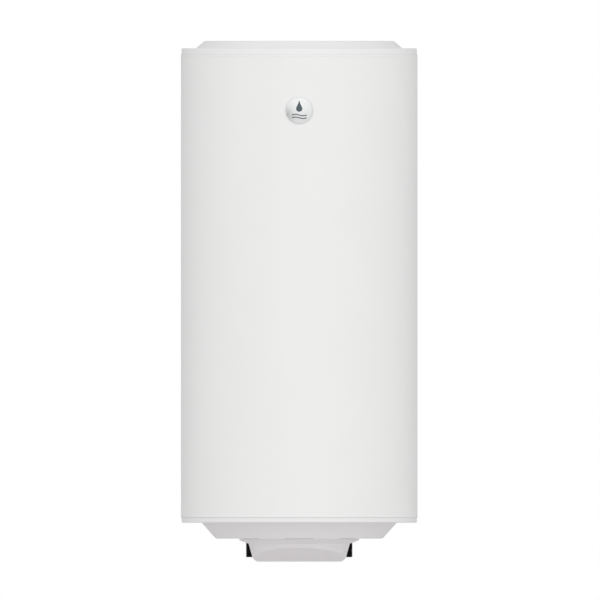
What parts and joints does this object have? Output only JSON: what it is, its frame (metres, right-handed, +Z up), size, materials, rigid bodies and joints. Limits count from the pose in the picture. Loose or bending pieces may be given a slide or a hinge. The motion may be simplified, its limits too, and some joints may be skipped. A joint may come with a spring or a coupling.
{
  "type": "wall-hung electric tank water heater",
  "caption": "Upright cylindrical electric tank water heater for a wall, with a white casing, a domed round badge, a dished underside and a removable wiring cover.",
  "frame": {"origin": "centre of the four wall bolts, on the wall's face", "axes": "+X to the right seen from the room, +Y into the wall, +Z up along the tank"},
  "size_m": [0.53, 0.557, 1.165],
  "materials": {
    "casing_enamel": "satin",
    "cover_plastic": "satin",
    "wiring_cover_plastic": "satin",
    "foam": "matt foam",
    "badge_silver": "satin",
    "emblem_slate": "satin",
    "bracket_steel": "galvanised",
    "zinc_steel": "zinc plated",
    "seal_rubber": "matt",
    "tank_enamel": "vitreous enamel",
    "plain_steel": "plain",
    "stainless": "satin",
    "magnesium": "cast",
    "brass": "plain",
    "ceramic_white": "matt",
    "black_plastic": "matt",
    "hot_red": "matt",
    "cold_blue": "matt",
    "deflector_plastic": "matt",
    "dial_plastic": "matt",
    "button_red": "satin",
    "block_plastic": "matt",
    "live_brown": "matt",
    "neutral_blue": "matt",
    "earth_green": "matt",
    "gland_plastic": "matt"
  },
  "bodies": {
    "heater": {"jacket": "casing_enamel", "top_cover": "cover_plastic", "bottom_cover": "cover_plastic", "insulation": "foam", "badge": "badge_silver", "badge_emblem": "emblem_slate", "upper_wall_bracket": "bracket_steel", "lower_wall_bracket": "bracket_steel", "bracket_spacers": "plain_steel", "bracket_bolts": "zinc_steel", "bracket_washers": "zinc_steel", "bracket_seals": "seal_rubber", "tank_shell": "tank_enamel", "tank_top_head": "tank_enamel", "tank_bottom_head": "tank_enamel", "flange_neck": "tank_enamel", "flange_ring": "plain_steel", "flange_studs": "zinc_steel", "flange_nuts": "zinc_steel", "flange_gasket": "seal_rubber", "flange_plate": "stainless", "heating_element": "stainless", "element_terminals": "brass", "terminal_insulators": "ceramic_white", "thermowell": "stainless", "anode_rod": "magnesium", "anode_stud": "zinc_steel", "anode_nut": "zinc_steel", "hot_outlet_tube": "plain_steel", "cold_inlet_tube": "plain_steel", "inlet_deflector": "deflector_plastic", "hot_nipple": "black_plastic", "cold_nipple": "black_plastic", "hot_ring": "hot_red", "cold_ring": "cold_blue", "thermostat_body": "black_plastic", "thermostat_probe": "stainless", "terminal_block": "block_plastic", "terminal_screws": "zinc_steel", "live_lead": "live_brown", "neutral_lead": "neutral_blue", "earth_lead": "earth_green", "earth_screw": "zinc_steel", "earth_lug": "brass"},
    "wiring_cover": {"electrical_cover": "wiring_cover_plastic", "cover_screws": "zinc_steel", "gland_body": "gland_plastic", "gland_locknut": "gland_plastic", "gland_cap": "gland_plastic", "gland_seal": "seal_rubber"},
    "thermostat_dial": {"thermostat_dial": "dial_plastic"},
    "reset_button": {"reset_button": "button_red"}
  },
  "joints": [
    {"name": "cover_slide", "type": "slide", "parent": "heater", "child": "wiring_cover", "axis": [0, 0, -1], "range_m": [0, 0.15]},
    {"name": "dial_turn", "type": "hinge", "parent": "heater", "child": "thermostat_dial", "pos_m": [-0.013, -0.314, -0.62], "axis": [0, 0, -1], "range_deg": [-135, 135]},
    {"name": "reset_press", "type": "slide", "parent": "heater", "child": "reset_button", "axis": [0, 0, 1], "range_m": [0, 0.002], "stiffness_N_per_m": 500, "springref_m": -0.002}
  ]
}
